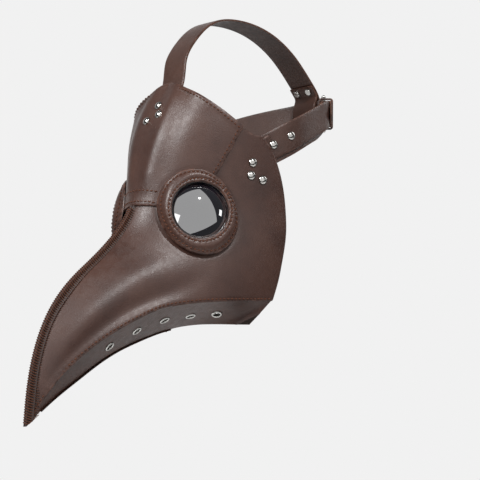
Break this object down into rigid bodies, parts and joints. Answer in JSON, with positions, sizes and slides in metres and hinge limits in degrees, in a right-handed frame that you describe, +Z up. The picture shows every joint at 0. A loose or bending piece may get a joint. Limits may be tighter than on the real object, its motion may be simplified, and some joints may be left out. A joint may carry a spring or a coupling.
{
  "type": "plague doctor mask",
  "caption": "Beaked leather plague doctor mask with goggle eyes, vented beak, crown strap and a buckled strap round the head",
  "frame": {"origin": "centre of the wearer's head at the height of the side straps", "axes": "+Z up, the beak points to -Y, +X is the wearer's left side"},
  "size_m": [0.1634, 0.3421, 0.3894],
  "materials": {
    "mask_leather": "satin coated leather with fine grain",
    "ring_leather": "satin coated leather, puckered at the stitches",
    "strap_leather": "satin coated leather",
    "lens": "polished, near black",
    "holder_plastic": "matt black",
    "nickel": "polished nickel",
    "thread": "waxed brown sewing thread",
    "raw_edge": "cut edge of the leather, lighter than its face"
  },
  "bodies": {
    "mask": {"eye_lens_left": "lens", "eye_lens_right": "lens", "eye_ring_left": "ring_leather", "eye_ring_right": "ring_leather", "forehead_panel": "mask_leather", "forehead_rivet_caps": "nickel", "forehead_rivet_posts": "nickel", "lens_holder_left": "holder_plastic", "lens_holder_right": "holder_plastic", "loop_rivet_caps": "nickel", "loop_rivet_posts": "nickel", "lower_panel_left": "mask_leather", "lower_panel_right": "mask_leather", "side_panel_left": "mask_leather", "side_panel_right": "mask_leather", "side_strap_left": "strap_leather", "side_strap_right": "strap_leather", "strap_anchor_right": "strap_leather", "strap_rivet_caps_left": "nickel", "strap_rivet_caps_right": "nickel", "strap_rivet_posts_left": "nickel", "strap_rivet_posts_right": "nickel", "temple_rivet_caps_left": "nickel", "temple_rivet_caps_right": "nickel", "temple_rivet_posts_left": "nickel", "temple_rivet_posts_right": "nickel", "top_strap": "strap_leather", "vent_eyelets_left": "nickel", "vent_eyelets_right": "nickel", "vent_washers_left": "nickel", "vent_washers_right": "nickel"},
    "buckle": {"buckle_frame": "nickel"},
    "prong": {"buckle_prong": "nickel"},
    "roller": {"buckle_roller": "nickel"},
    "keeper": {"strap_keeper": "strap_leather"}
  },
  "joints": [
    {"name": "buckle_tilt", "type": "hinge", "parent": "mask", "child": "buckle", "pos_m": [0.043, 0.083, 0.034], "axis": [-0.1351, 0.1186, -0.9837], "range_deg": [0, 5]},
    {"name": "prong_lift", "type": "hinge", "parent": "buckle", "child": "prong", "pos_m": [0.043, 0.083, 0.034], "axis": [-0.1351, 0.1186, -0.9837], "range_deg": [0, 5]},
    {"name": "roller_spin", "type": "hinge", "parent": "buckle", "child": "roller", "pos_m": [0.02707, 0.09766, 0.03796], "axis": [-0.1351, 0.1186, -0.9837], "continuous": true},
    {"name": "keeper_slide", "type": "slide", "parent": "mask", "child": "keeper", "axis": [0.7391, -0.6492, -0.1798], "range_m": [-0.004, 0.005]}
  ]
}
